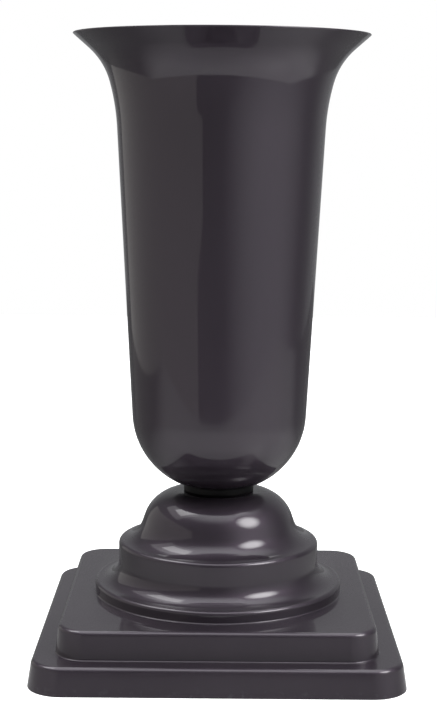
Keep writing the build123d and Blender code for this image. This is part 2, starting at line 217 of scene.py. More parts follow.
# %% Sizes of the pedestal
WALL = 2.5
LOWER = {"half": 96.5, "height": 14.4, "draft": 8.9, "corner": 18.5}
UPPER = {"half": 83.2, "height": 14.8, "draft": 6.5, "corner": 16.5}
STEP_EDGE, STEP_ROOT = 2.6, 0.7
FOOT_R, FOOT_WALL = 67.6, 4.4
TREAD_Z = LOWER["height"]
PLINTH_Z = TREAD_Z + UPPER["height"]


def step_bends(size, outside_half, root_before, next_half, next_turn):
    """Bends of one drafted step: its rounded upper edge and the fillet where the next wall rises."""
    lean = radians(size["draft"])
    top_half = outside_half - size["height"] * tan(lean)
    edge = bend_trim(STEP_EDGE, 90 - size["draft"])
    root = bend_trim(STEP_ROOT, next_turn)
    return [(size["height"] / cos(lean) - root_before - edge, STEP_EDGE, 90 - size["draft"]),
            (top_half - next_half - edge - root, STEP_ROOT, -next_turn)], root


lower_bends, root = step_bends(LOWER, LOWER["half"], 0.0, UPPER["half"], 90 - UPPER["draft"])
upper_bends, root = step_bends(UPPER, UPPER["half"], root, FOOT_R, 90)
FOOT_BENDS = [
    (FOOT_WALL - root, 1.9, 90.0),
    (1.0, 10.1, -90.0),
    (9.5, 2.4, 78.0),
    (0.6, 14.0, -59.0),
    (4.2, 20.3, 71.0),
]
PEDESTAL_PEN = ((LOWER["half"], 0.0), 90 + LOWER["draft"], lower_bends + upper_bends + FOOT_BENDS)
LAND_Z = pen_run(*PEDESTAL_PEN)[-1][1]
print("tread at", TREAD_Z, "plinth at", round(PLINTH_Z, 2), "land at", round(LAND_Z, 2))

# %% Sizes of the neck and the vase
RING_HEIGHT, RING_R, RING_EDGE = 4.4, 19.05, 0.9
SEAT_Z = LAND_Z + RING_HEIGHT
DRAFT, BOWL_RISE, HEEL_TURN, BOWL_R = 3.0, 7.4, 20.8, 42.8
VASE_WALL = 2.4
VASE_BENDS = [
    (0.0, 15.6, HEEL_TURN),
    (0.0, BOWL_R, 90 - DRAFT - BOWL_RISE - HEEL_TURN),
    (155.0, 112.5, -12.4),
    (0.0, 35.7, -33.4),
]
LIP, RIM_EDGE = 12.0, 0.45
LIP_HEADING = BOWL_RISE + sum(turn for _, _, turn in VASE_BENDS)
VASE_PEN = ((19.36, SEAT_Z), BOWL_RISE, VASE_BENDS)
RIM_Z = pen_run(*VASE_PEN, LIP)[-1][1]
SPIGOT_R, SPIGOT_WALL, SPIGOT_LENGTH = 14.0, 2.4, 26.0
SPIGOT_END_Z = SEAT_Z - SPIGOT_LENGTH
THREAD = {"pitch": 6.0, "depth": 1.6, "root": 2.6, "crest": 1.4, "sink": 0.4}
THREAD_START, THREAD_PLAY, THREAD_GAP = 3.0, 0.4, 0.3
MALE_TURNS, FEMALE_TURNS = 2.0, 1.5
MALE_LOW_Z = SPIGOT_END_Z + THREAD_START
FEMALE_LOW_Z = MALE_LOW_Z + (THREAD["root"] + THREAD["crest"]) / 2 + THREAD_GAP
SOCKET_WALL, SOCKET_ROOM = 2.6, 6.4
BORE_R = SPIGOT_R + THREAD["depth"] + THREAD_PLAY
SOCKET_R = BORE_R + SOCKET_WALL
SOCKET_FLOOR_Z = SPIGOT_END_Z - SOCKET_ROOM
print("seat at", round(SEAT_Z, 2), "rim at", round(RIM_Z, 2), "socket floor at", round(SOCKET_FLOOR_Z, 2))

# %% [markdown]
# The tulip vase
#
# It is one moulding with a wall of even thickness, so its skin is one closed outline: out
# under the spigot, up the outside, over the thin rim and down the inside. Modelling both
# faces, and not one sheet, gives the rim its real edge and the mouth a wall that light can't
# pass. The screw thread is a ridge of its own, rooted in the spigot's wall.

# %% Vase skin


def lip_to_rim(inset):
    """Length of the straight lip, on a wall moved in by inset, up to the level of the rim."""
    return (RIM_Z - pen_run(*VASE_PEN, inset=inset)[-1][1]) / sin(radians(LIP_HEADING))


def vase_profile():
    """The whole section of the vase, from the foot of its spigot round to the floor inside it."""
    rise, edge_turn = radians(LIP_HEADING), 180 - LIP_HEADING
    outer_trim, inner_trim = bend_trim(RIM_EDGE, edge_turn), bend_trim(RIM_EDGE, LIP_HEADING)
    rim = [(lip_to_rim(0) - outer_trim, RIM_EDGE, edge_turn),
           (VASE_WALL / sin(rise) - outer_trim - inner_trim, RIM_EDGE, LIP_HEADING)]
    start, heading, bends = VASE_PEN
    outside = pen_run(start, heading, bends + rim)
    inside = pen_run(*VASE_PEN, last=lip_to_rim(VASE_WALL) - inner_trim, inset=VASE_WALL)[::-1]
    stem = eased((0, SPIGOT_END_Z), (SPIGOT_R, SPIGOT_END_Z), (SPIGOT_R, SEAT_Z), start)
    well_r, well_z = SPIGOT_R - SPIGOT_WALL, SPIGOT_END_Z + SPIGOT_WALL
    well = eased(tuple(inside[-1]), (well_r, inside[-1][1]), (well_r, well_z), (0, well_z))
    return np.concatenate([stem, outside[1:], inside, well[1:]])


def thread_grid(wall_r, low, turns, inward):
    """A helical ridge: a trapezoid carried along a helix and tapered at both ends.

    Place = (r cos a, r sin a, low + pitch * a / full turn + h), where (r, h) are the
    corners of the trapezoid. Over the first and last eighth of a turn the crest sinks
    back into the wall.
    """
    side = -1 if inward else 1
    a = np.linspace(0, turns * 2 * pi, int(turns * 4 * QUARTER) + 1)[:, None]
    share = np.sin(np.clip(np.minimum(a, a[-1] - a) / (pi / 4), 0, 1) * pi / 2)
    crest = wall_r + side * (THREAD["depth"] * share - THREAD["sink"] * (1 - share))
    root = np.full_like(a, wall_r - side * THREAD["sink"])
    half_root, half_crest = THREAD["root"] / 2, THREAD["crest"] / 2
    r = np.concatenate([root, crest, crest, root], 1)
    h = np.array([-half_root, -half_crest, half_crest, half_root])
    ridge = np.stack([r * np.cos(a), r * np.sin(a), low + THREAD["pitch"] * a / (2 * pi) + h], 2)
    ends = np.repeat(ridge[[0, -1]].mean(1, keepdims=True), 4, 1)
    grid = np.concatenate([ends[:1], ridge, ends[1:]])
    return grid if inward else grid[:, ::-1]


vase_outline = vase_profile()
tulip_vase = piece_from("tulip_vase", [
    around(vase_outline), thread_grid(SPIGOT_R, MALE_LOW_Z, MALE_TURNS, inward=False)])

# %% [markdown]
# The pedestal
#
# The square steps are drafted so that they leave the mould, and their upper edges are
# rounded, their inner corners filleted. Along one side the section is again a pen run. The
# same run is carried round a rounded square for the steps, and round a circle for the foot.
# Inside the foot, four bosses take the screws of the cover and four ribs tie the socket to
# the dome. They never show once the foot is filled, yet a mesh that is passed on holds them.

# %% Pedestal skin
SKIRT_LIFT = 1.0


def pedestal_profile():
    """Section from under the socket, down inside the foot, up outside it and into the bore."""
    (half, ground), _, _ = PEDESTAL_PEN
    outside = pen_run(*PEDESTAL_PEN)
    inside = pen_run(*PEDESTAL_PEN, inset=WALL)[::-1]
    inside = inside[(inside[:, 0] > SOCKET_R + LEAST_BEND) & (inside[:, 1] > SKIRT_LIFT)]
    outside = outside[outside[:, 1] > SKIRT_LIFT]
    inner_half = half - WALL / cos(radians(LOWER["draft"]))
    under, bottom = LAND_Z - WALL, SOCKET_FLOOR_Z - (SOCKET_R - BORE_R)
    socket = eased((0, bottom), (SOCKET_R, bottom), (SOCKET_R, under), (inside[0][0], under))
    bore = eased(tuple(outside[-1]), (BORE_R, LAND_Z), (BORE_R, SOCKET_FLOOR_Z), (0, SOCKET_FLOOR_Z))
    skirt = eased(tuple(inside[-1]), (inner_half, ground), (half, ground), tuple(outside[0]))
    return np.concatenate([socket, inside, skirt[1:], outside[1:], bore[1:]])


def square_under(profile):
    """Half-side b of the inner square for each (r, z): lower step, upper step, then round foot."""
    r, z = profile.T
    lower, upper = LOWER["half"] - LOWER["corner"], UPPER["half"] - UPPER["corner"]
    outer_skin = (r > UPPER["half"] + STEP_ROOT - SUPPORT) & (z < TREAD_Z + SUPPORT)
    inner_skin = (r > UPPER["half"] - WALL + LEAST_BEND) & (z < TREAD_Z - WALL + SUPPORT)
    on_steps = (z < PLINTH_Z + SUPPORT / 2) & (r > FOOT_R + STEP_ROOT + SUPPORT / 2)
    return np.where(outer_skin | inner_skin, lower, np.where(on_steps, upper, 0.0))


pedestal_outline = pedestal_profile()
stepped_pedestal = piece_from("stepped_pedestal", [
    around(pedestal_outline, square_under(pedestal_outline)),
    thread_grid(BORE_R, FEMALE_LOW_Z, FEMALE_TURNS, inward=True)])

# %% Bosses and ribs
BOSS_R, PILOT_R = 4.2, 1.5
BOSS_INSET = 13.2
BOSS_PLACE = UPPER["half"] - BOSS_INSET
BOSS_LOW_Z, PILOT_TOP_Z = 5.5, 21.0
RIB_THICKNESS, RIB_DEPTH = 2.4, 16.0


def boss_grid(x, y):
    """A closed boss about its own axis, open below and rooted in the plinth above."""
    root_z = PLINTH_Z - WALL / 2
    profile = eased((0, PILOT_TOP_Z), (PILOT_R, PILOT_TOP_Z), (PILOT_R, BOSS_LOW_Z),
                    (BOSS_R, BOSS_LOW_Z), (BOSS_R, root_z), (0, root_z))
    return around(profile, centre=(x, y), quarter=8)


def rib_outline():
    """Section of a rib: out from the socket's wall, up inside the dome's wall and back."""
    low, high = LAND_Z - WALL - RIB_DEPTH, LAND_Z - WALL / 2
    dome = pen_run(*PEDESTAL_PEN, inset=WALL / 2)
    dome = dome[(dome[:, 1] > low) & (dome[:, 0] > SOCKET_R)]
    start_r = SOCKET_R - WALL / 2
    return np.concatenate([[(start_r, low), (dome[0][0], low)], dome[1:], [(start_r, high)]])


def slab_grid(outline, thickness, turn):
    """A flat outline of (r, z), thick across its plane and turned about the axis of the vase.

    Each face is a fan that closes on the outline's middle point.
    """
    middle = np.repeat(outline.mean(0, keepdims=True), len(outline), 0)
    half = thickness / 2
    layers = [(middle, half), (outline, half), (outline, -half), (middle, -half)]
    c, s = cos(radians(turn)), sin(radians(turn))
    return np.stack([np.stack([p[:, 0] * c - y * s, p[:, 0] * s + y * c, p[:, 1]], 1) for p, y in layers])


foot_parts = [boss_grid(x * BOSS_PLACE, y * BOSS_PLACE) for x in (-1, 1) for y in (-1, 1)]
foot_parts += [slab_grid(rib_outline(), RIB_THICKNESS, 90 * i) for i in range(4)]
bosses_and_ribs = piece_from("bosses_and_ribs", foot_parts)

# %% [markdown]
# The neck ring
#
# A plain black ring fills the joint between bowl and foot. It is so low that only its rounded
# edge shows, and that edge is what keeps the joint from looking like a cut.

# %% Ring
ring_flat = RING_R - RING_EDGE - BORE_R
ring_outline = pen_run((BORE_R, LAND_Z), 0, [
    (ring_flat, RING_EDGE, 90), (RING_HEIGHT - 2 * RING_EDGE, RING_EDGE, 90)], ring_flat)
neck_collar = piece_from("neck_collar", [around(ring_outline)], rings=[0])

# %% [markdown]
# The flower insert
#
# The pot that holds the water follows the vase's bowl and taper at a small distance, and
# hangs by a flange in the throat. Its heel is the one bend that has to be worked out: a small
# circle that touches both the flat floor and the bowl's arc from inside. Its centre lies
# above the floor by its own radius, and nearer the bowl's centre by the same radius.

# %% Insert sizes and section
INSERT_WALL, INSERT_REACH = 1.8, VASE_WALL + 2.5
FLOOR_ROOM, FLANGE_DROP, FLANGE_THICKNESS, FLANGE_GAP = 12.5, 14.0, 1.8, 0.3
INSERT_FLOOR_Z = SEAT_Z + VASE_WALL + FLOOR_ROOM
FLANGE_TOP_Z = RIM_Z - FLANGE_DROP
FLANGE_Z = FLANGE_TOP_Z - FLANGE_THICKNESS
INSERT_HEEL_R = 6.0
FOOT_RIB_INSET, FOOT_RIB_HEIGHT, FOOT_RIB_WIDTH = 4.0, 1.6, 2.2
bowl_end = pen_run(*VASE_PEN[:2], VASE_BENDS[:2])[-1]
bowl_centre = onward(bowl_end, 180 - DRAFT, BOWL_R)
insert_bowl_r = BOWL_R - INSERT_REACH
heel_z = INSERT_FLOOR_Z + INSERT_HEEL_R
heel_r = bowl_centre[0] + sqrt((insert_bowl_r - INSERT_HEEL_R) ** 2 - (heel_z - bowl_centre[1]) ** 2)
heel_turn = 90 + degrees(atan2(heel_z - bowl_centre[1], heel_r - bowl_centre[0]))
INSERT_PEN = ((heel_r, INSERT_FLOOR_Z), 0, [
    (0, INSERT_HEEL_R, heel_turn), (0, insert_bowl_r, 90 - DRAFT - heel_turn)])


def insert_side(inset, top_z, trim=0.0):
    """The insert's side, moved in by inset, from its heel up the taper to a level."""
    end_z = pen_run(*INSERT_PEN, inset=inset)[-1][1]
    return pen_run(*INSERT_PEN, last=(top_z - end_z) / cos(radians(DRAFT)) - trim, inset=inset)


def flange_edge_r(z):
    """Radius of the flange at a level: the vase's inner wall, less the gap it seats with."""
    wall = pen_run(*VASE_PEN, last=lip_to_rim(VASE_WALL), inset=VASE_WALL + FLANGE_GAP)
    return float(np.interp(z, wall[:, 1], wall[:, 0]))


def insert_profile():
    """Section of the insert: floor with its foot rib, side, flange, mouth and back down inside."""
    outside = insert_side(0.0, FLANGE_Z)
    inside = insert_side(INSERT_WALL, FLANGE_TOP_Z)[::-1]
    rib_r = heel_r - FOOT_RIB_INSET
    low_z = INSERT_FLOOR_Z - FOOT_RIB_HEIGHT
    floor = eased((0, INSERT_FLOOR_Z), (rib_r - FOOT_RIB_WIDTH, INSERT_FLOOR_Z),
                  (rib_r - FOOT_RIB_WIDTH, low_z), (rib_r, low_z), (rib_r, INSERT_FLOOR_Z),
                  (heel_r, INSERT_FLOOR_Z))
    flange = eased(tuple(outside[-2]), tuple(outside[-1]), (flange_edge_r(FLANGE_Z), FLANGE_Z),
                   (flange_edge_r(FLANGE_TOP_Z), FLANGE_TOP_Z), tuple(inside[0]), tuple(inside[2]), ease=0.1)
    return np.concatenate([floor, outside[1:-2], flange, inside[3:], [(0, INSERT_FLOOR_Z + INSERT_WALL)]])


insert_outline = insert_profile()
MOUTH_R = insert_side(INSERT_WALL, FLANGE_TOP_Z)[-1][0]
print("insert mouth radius", round(MOUTH_R, 2), "heel turns", round(heel_turn, 1), "degrees")

# %% [markdown]
# Ears and bail
#
# The bail is one length of wire: a short pin through each ear, a tight bend, and a half hoop
# that lies round the flange. The pins' ends are upset into flat heads so that they stay in
# the ears. The wire is a tube whose radius is a function of the distance along it, so the
# heads are part of the same skin. An ear is a flat plate between its outline and the hole.

# %% Ears and bail
WIRE_R, PIN_GAP, HEAD_R, HEAD_THICKNESS, HEAD_EASE = 1.25, 0.08, 2.0, 1.0, 0.3
EAR_THICKNESS, EAR_WIDTH, EAR_WALL = 2.2, 9.0, 2.0
EAR_TOP_R = WIRE_R + PIN_GAP + EAR_WALL
BAIL_LIFT, BEND_GAP, BEND_R, HEAD_GAP = 0.3, 0.8, 2.0, 0.25
BAIL_Z = FLANGE_TOP_Z + WIRE_R + BAIL_LIFT
HOOP_R = MOUTH_R + EAR_THICKNESS + BEND_GAP + BEND_R
HEAD_X = MOUTH_R - HEAD_GAP - HEAD_THICKNESS


def ear_grid(side):
    """An ear: its outline and its hole, seen along X, each at both faces of the plate."""
    low = FLANGE_Z + FLANGE_THICKNESS / 2 - BAIL_Z
    top = np.radians(np.linspace(0, 180, 19))
    arch = EAR_TOP_R * np.stack([np.cos(top), np.sin(top)], 1)
    half = EAR_WIDTH / 2
    tab = [(-half, 0), (-half, low), (half, low), (half, 0)]
    sides = [straight(a, b) for a, b in zip(tab, tab[1:])]
    outline = np.concatenate([arch, tab[:1], *sides])
    angle = np.arctan2(outline[:, 1], outline[:, 0])
    hole = (WIRE_R + PIN_GAP) * np.stack([np.cos(angle), np.sin(angle)], 1)
    near, far = side * MOUTH_R, side * (MOUTH_R + EAR_THICKNESS)
    layers = [(outline, near), (outline, far), (hole, far), (hole, near)]
    grid = np.stack([np.stack([np.full(len(p), x), p[:, 0], BAIL_Z + p[:, 1]], 1) for p, x in layers])
    return grid if side < 0 else grid[:, ::-1]


def wire_grid(plan, height, profile, columns=24):
    """A round wire along a level plan, with its radius given by (distance, radius) pairs.

    Place = path(d) + r(d) * (cos a * side + sin a * up), where side is the path's normal
    in its plane and up is the vertical.
    """
    run = np.concatenate([[0], np.cumsum(np.linalg.norm(np.diff(plan, axis=0), axis=1))])
    tangent = np.gradient(plan, run, axis=0)
    tangent /= np.linalg.norm(tangent, axis=1, keepdims=True)
    end_run, wire_r = profile[-1]
    inner = run[(run > end_run) & (run < run[-1] - end_run)]
    far_end = [(run[-1] - d, r) for d, r in reversed(profile)]
    rows = np.array(profile + [(d, wire_r) for d in inner] + far_end)
    at = np.stack([np.interp(rows[:, 0], run, plan[:, k]) for k in (0, 1)], 1)
    way = np.stack([np.interp(rows[:, 0], run, tangent[:, k]) for k in (0, 1)], 1)
    way /= np.linalg.norm(way, axis=1, keepdims=True)
    a = np.linspace(0, 2 * pi, columns + 1)[:-1]
    out = rows[:, 1, None] * np.cos(a)
    side = np.stack([-way[:, 1], way[:, 0]], 1)
    flat = at[:, None] + out[..., None] * side[:, None]
    up = height + rows[:, 1, None] * np.sin(a)
    return np.concatenate([flat, up[..., None]], 2)


pin = HOOP_R - BEND_R - HEAD_X
bail_plan = pen_run((HEAD_X, 0), 0, [(pin, BEND_R, 90), (0, HOOP_R, 180), (0, BEND_R, 90)], pin)
head = [(0, 0), (0, HEAD_R - HEAD_EASE), (HEAD_EASE / 3, HEAD_R - HEAD_EASE / 3), (HEAD_EASE, HEAD_R),
        (HEAD_THICKNESS - HEAD_EASE / 2, HEAD_R), (HEAD_THICKNESS, HEAD_R - HEAD_EASE / 2),
        (HEAD_THICKNESS, WIRE_R)]
wire_bail = piece_from("wire_bail", [wire_grid(bail_plan, BAIL_Z, head)], sharp=50)
flower_liner = piece_from("flower_liner", [around(insert_outline), ear_grid(-1), ear_grid(1)], rings=[1, 2])

# %% [markdown]
# Which body each piece rides on
#
# A piece that stands in for a node of the frame hides that node and moves with its body.
# Cover, screws and cast block keep the frame's own meshes: they are flat and angular, so a
# finer surface would add nothing, and only their finish is made here.

# %% Bodies, stand-ins and slots
STANDS_FOR = [
    (tulip_vase, "vase", "vase_shell", "body_plastic"),
    (stepped_pedestal, "pedestal", "pedestal_shell", "body_plastic"),
    (bosses_and_ribs, "pedestal", "pedestal_shell", "body_plastic"),
    (neck_collar, "ring", "neck_ring", "ring_rubber"),
    (flower_liner, "insert", "flower_insert", "insert_plastic"),
    (wire_bail, "handle", "insert_handle", "bail_steel"),
]
for piece, body, node, slot in STANDS_FOR:
    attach(piece, body)
    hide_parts(node)
    reach = np.array([v.co for v in piece.data.vertices]).max(0)
    frame_reach = [round(x / MM, 2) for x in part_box(node)[1]]
    print(piece.name, "reaches", np.round(reach / MM, 2), "and its node in the frame", frame_reach)

# %% [markdown]
# Camera
#
# The photograph was taken from a little above the middle, about nine tenths of a metre away
# for an object of this height. The long lens keeps the sides of the vase nearly parallel.

# %% Camera
PHOTO_HEIGHT, SENSOR = 720, 36.0
FOCAL_PIXELS = 1617.7
CAMERA_PLACE = (0.0006, -0.8681, 0.2836)
PITCH, PAN, ROLL = 0.1457, 0.0014, 0.0078
camera = bpy.data.objects.new("camera", bpy.data.cameras.new("camera"))
bpy.context.collection.objects.link(camera)
bpy.context.scene.camera = camera
camera.data.sensor_width = SENSOR
camera.data.lens = FOCAL_PIXELS * SENSOR / PHOTO_HEIGHT
camera.location = CAMERA_PLACE
aimed = Euler((pi / 2 - PITCH, 0, PAN)).to_matrix()
camera.rotation_euler = (aimed @ Matrix.Rotation(ROLL, 3, "Z")).to_euler()
print("lens, mm:", round(camera.data.lens, 2))

# %% [markdown]
# How the finishes are built
#
# A finish is a shader tree made by code. Three effects are shared by several finishes, so
# each is a node group with named sockets, placed in a material with its own values. Flow
# mottle is the faint cloudiness of pigment that swirled as it filled the mould. Mould skin
# is the slight waviness of a moulded face, seen only where a reflection bends. Rubbed edge
# is a mask of small scuffs near the ground, where a foot gets knocked.

# %% Node helpers


def place(tree, kind, name="", **inputs):
    """Adds a node, sets its properties and input values by name, and returns it.

    A value that is an output socket is linked, and anything else is set on the input.
    Lower-case names without a matching input are properties of the node.
    """
    node = tree.nodes.new(kind)
    node.label = name
    for key, value in inputs.items():
        if hasattr(node, key) and key.islower():
            setattr(node, key, value)
            continue
        socket = node.inputs[int(key[1:])] if key[1:].isdigit() else node.inputs[key.replace("_", " ")]
        if isinstance(value, bpy.types.NodeSocket):
            tree.links.new(value, socket)
        else:
            socket.default_value = value
    return node


def group_of(name, inputs, outputs):
    """A new node group with its inputs {name: (kind, value)} and outputs {name: kind}."""
    tree = bpy.data.node_groups.new(name, "ShaderNodeTree")
    for label, (kind, value) in inputs.items():
        tree.interface.new_socket(label, in_out="INPUT", socket_type=kind).default_value = value
    for label, kind in outputs.items():
        tree.interface.new_socket(label, in_out="OUTPUT", socket_type=kind)
    return tree, tree.nodes.new("NodeGroupInput").outputs, tree.nodes.new("NodeGroupOutput").inputs


def use(tree, group, **inputs):
    """Places a node group in a tree and sets its named inputs."""
    return place(tree, "ShaderNodeGroup", group.name, node_tree=group, **inputs).outputs


FLOAT, COLOUR, DIRECTION = "NodeSocketFloat", "NodeSocketColor", "NodeSocketVector"

# %% Shared effects
flow_mottle, wants, gives = group_of(
    "flow_mottle",
    {"Dark": (COLOUR, (0.0, 0.0, 0.0, 1)), "Light": (COLOUR, (1, 1, 1, 1)), "Cloud Size": (FLOAT, 9.0)},
    {"Colour": COLOUR, "Cloud": FLOAT})
spot = place(flow_mottle, "ShaderNodeTexCoord").outputs["Object"]
drawn = place(flow_mottle, "ShaderNodeMapping", "drawn along the flow", Vector=spot, Scale=(1, 1, 0.35))
cloud = place(flow_mottle, "ShaderNodeTexNoise", "clouds", Vector=drawn.outputs[0],
              Scale=wants["Cloud Size"], Detail=4.0, Roughness=0.55, Distortion=0.8)
cloud_range = place(flow_mottle, "ShaderNodeMapRange", "spread", Value=cloud.outputs["Fac"],
                    From_Min=0.3, From_Max=0.7)
tint = place(flow_mottle, "ShaderNodeMix", "tint", data_type="RGBA", Factor=cloud_range.outputs[0],
             _6=wants["Dark"], _7=wants["Light"])
flow_mottle.links.new(tint.outputs[2], gives["Colour"])
flow_mottle.links.new(cloud_range.outputs[0], gives["Cloud"])

mould_skin, wants, gives = group_of(
    "mould_skin",
    {"Wave Size": (FLOAT, 60.0), "Wave Depth": (FLOAT, 0.00002), "Grain Size": (FLOAT, 1500.0),
     "Grain Depth": (FLOAT, 0.000002)},
    {"Normal": DIRECTION})
spot = place(mould_skin, "ShaderNodeTexCoord").outputs["Object"]
wave = place(mould_skin, "ShaderNodeTexNoise", "waviness", Vector=spot, Scale=wants["Wave Size"], Detail=1.0)
wave_bump = place(mould_skin, "ShaderNodeBump", "waves", Height=wave.outputs["Fac"],
                  Distance=wants["Wave Depth"], Strength=1.0)
grain = place(mould_skin, "ShaderNodeTexNoise", "grain", Vector=spot, Scale=wants["Grain Size"], Detail=2.0)
grain_bump = place(mould_skin, "ShaderNodeBump", "grain", Height=grain.outputs["Fac"],
                   Distance=wants["Grain Depth"], Strength=1.0, Normal=wave_bump.outputs[0])
mould_skin.links.new(grain_bump.outputs[0], gives["Normal"])

rubbed_edge, wants, gives = group_of(
    "rubbed_edge",
    {"Reach": (FLOAT, 0.006), "Amount": (FLOAT, 0.5), "Fleck Size": (FLOAT, 240.0)}, {"Mask": FLOAT})
spot = place(rubbed_edge, "ShaderNodeTexCoord").outputs["Object"]
level = place(rubbed_edge, "ShaderNodeSeparateXYZ", Vector=spot).outputs["Z"]
near_ground = place(rubbed_edge, "ShaderNodeMapRange", "near the ground", Value=level,
                    From_Min=wants["Reach"], From_Max=0.0)
fleck = place(rubbed_edge, "ShaderNodeTexNoise", "flecks", Vector=spot, Scale=wants["Fleck Size"], Detail=3.0)
sparse = place(rubbed_edge, "ShaderNodeMapRange", "sparse", Value=fleck.outputs["Fac"],
               From_Min=0.55, From_Max=0.68)
both = place(rubbed_edge, "ShaderNodeMath", "both", operation="MULTIPLY",
             _0=near_ground.outputs[0], _1=sparse.outputs[0])
some = place(rubbed_edge, "ShaderNodeMath", "some", operation="MULTIPLY",
             _0=both.outputs[0], _1=wants["Amount"])
rubbed_edge.links.new(some.outputs[0], gives["Mask"])
print("effects:", [g.name for g in bpy.data.node_groups])

# %% [markdown]
# The pearl plastic
#
# The body colour is an anthracite grey with a little pearl pigment, moulded to a high gloss.
# Two things happen in such a surface. Light glances off the smooth skin as from a window
# pane, which gives the sharp white patches. Light that enters meets tiny flakes lying at
# all angles, which spread a soft glow round each patch. So the shader is a rough, partly
# metallic base for the flakes, under a smooth clear coat for the skin.

# %% Pearl plastic
PEARL_DARK, PEARL_LIGHT = (0.051, 0.040, 0.053, 1), (0.062, 0.050, 0.064, 1)
SCUFF = (0.14, 0.14, 0.16, 1)
PEARL_SHARE, PEARL_ROUGH, FLAKES_PER_M = (0.6, 0.95), 0.49, 2600.0
ROUGH_SPREAD, SCUFF_COAT = 0.02, 0.3
COAT_ROUGH, COAT_IOR = 0.06, 1.5


def new_finish(name):
    """A material with an empty tree and its output: returns (material, tree, Principled BSDF)."""
    material = bpy.data.materials.new(name)
    material.use_nodes = True
    tree = material.node_tree
    tree.nodes.clear()
    skin = place(tree, "ShaderNodeBsdfPrincipled")
    out = place(tree, "ShaderNodeOutputMaterial")
    tree.links.new(skin.outputs[0], out.inputs["Surface"])
    return material, tree, skin.inputs


def pearl_plastic():
    """Glossy anthracite: pearl flakes under a clear moulded skin, scuffed a little at the ground."""
    material, tree, skin = new_finish("pearl_plastic")
    mottle = use(tree, flow_mottle, Dark=PEARL_DARK, Light=PEARL_LIGHT, Cloud_Size=9.0)
    worn = use(tree, rubbed_edge, Reach=0.005, Amount=0.35, Fleck_Size=260.0)["Mask"]
    tone = place(tree, "ShaderNodeMix", "scuffs", data_type="RGBA", Factor=worn,
                 _6=mottle["Colour"], _7=SCUFF)
    spot = place(tree, "ShaderNodeTexCoord").outputs["Object"]
    flakes = place(tree, "ShaderNodeTexVoronoi", "flakes", Vector=spot, Scale=FLAKES_PER_M)
    lit = place(tree, "ShaderNodeSeparateColor", Color=flakes.outputs["Color"])
    metal = place(tree, "ShaderNodeMapRange", "pearl", Value=lit.outputs[0],
                  To_Min=PEARL_SHARE[0], To_Max=PEARL_SHARE[1])
    tree.links.new(tone.outputs[2], skin["Base Color"])
    tree.links.new(metal.outputs[0], skin["Metallic"])
    matt = place(tree, "ShaderNodeMapRange", "cloudy gloss", Value=mottle["Cloud"],
                 To_Min=PEARL_ROUGH - ROUGH_SPREAD, To_Max=PEARL_ROUGH + ROUGH_SPREAD)
    tree.links.new(matt.outputs[0], skin["Roughness"])
    skin["Specular IOR Level"].default_value = 0.0
    dull = place(tree, "ShaderNodeMapRange", "coat left", Value=worn, To_Min=1.0, To_Max=SCUFF_COAT)
    tree.links.new(dull.outputs[0], skin["Coat Weight"])
    skin["Coat Roughness"].default_value = COAT_ROUGH
    skin["Coat IOR"].default_value = COAT_IOR
    normal = use(tree, mould_skin, Wave_Size=55.0, Wave_Depth=0.00003,
                 Grain_Size=1200.0, Grain_Depth=0.0000006)["Normal"]
    tree.links.new(normal, skin["Normal"])
    tree.links.new(normal, skin["Coat Normal"])
    return material


body_finish = pearl_plastic()

# %% [markdown]
# The plain plastics and the rubber
#
# The ring is black satin rubber with a very fine grain. The insert is the cheaper moulding
# that nobody looks at: the same grey without pearl or gloss, with a wavier skin. The cover
# under the foot is black and matt, with the spark-eroded grain of a tool that was never
# polished.

# %% Plain plastics and rubber


def plain_moulding(name, dark, light, rough, wave_depth, grain_size, grain_depth, shine=0.5):
    """A moulding without pearl: mottled tone, cloudy gloss and its own skin."""
    material, tree, skin = new_finish(name)
    skin["Specular IOR Level"].default_value = shine
    mottle = use(tree, flow_mottle, Dark=dark, Light=light, Cloud_Size=16.0)
    tree.links.new(mottle["Colour"], skin["Base Color"])
    matt = place(tree, "ShaderNodeMapRange", "cloudy gloss", Value=mottle["Cloud"],
                 To_Min=rough - 0.04, To_Max=rough + 0.04)
    tree.links.new(matt.outputs[0], skin["Roughness"])
    normal = use(tree, mould_skin, Wave_Size=80.0, Wave_Depth=wave_depth,
                 Grain_Size=grain_size, Grain_Depth=grain_depth)["Normal"]
    tree.links.new(normal, skin["Normal"])
    return material


ring_finish = plain_moulding(
    "satin_rubber", dark=(0.0035, 0.0033, 0.0035, 1), light=(0.006, 0.0056, 0.006, 1), rough=0.40,
    wave_depth=0.00001, grain_size=2500.0, grain_depth=0.000004, shine=0.15)
insert_finish = plain_moulding(
    "insert_plastic", dark=(0.020, 0.019, 0.021, 1), light=(0.028, 0.027, 0.030, 1), rough=0.42,
    wave_depth=0.00004, grain_size=1800.0, grain_depth=0.000006)
cover_finish = plain_moulding(
    "grained_cover", dark=(0.008, 0.008, 0.0085, 1), light=(0.014, 0.014, 0.015, 1), rough=0.62,
    wave_depth=0.00002, grain_size=900.0, grain_depth=0.00005)

# %% [markdown]
# Wire, screws and concrete
#
# Galvanised wire is bright zinc dulled by drawing and handling, so its tone and roughness
# are streaked. The screws are the same metal, cleaner and brighter. Cast concrete is sand
# and cement paste with air pores: a pale grey with fine speckle and small round pits.

# %% Metals and concrete


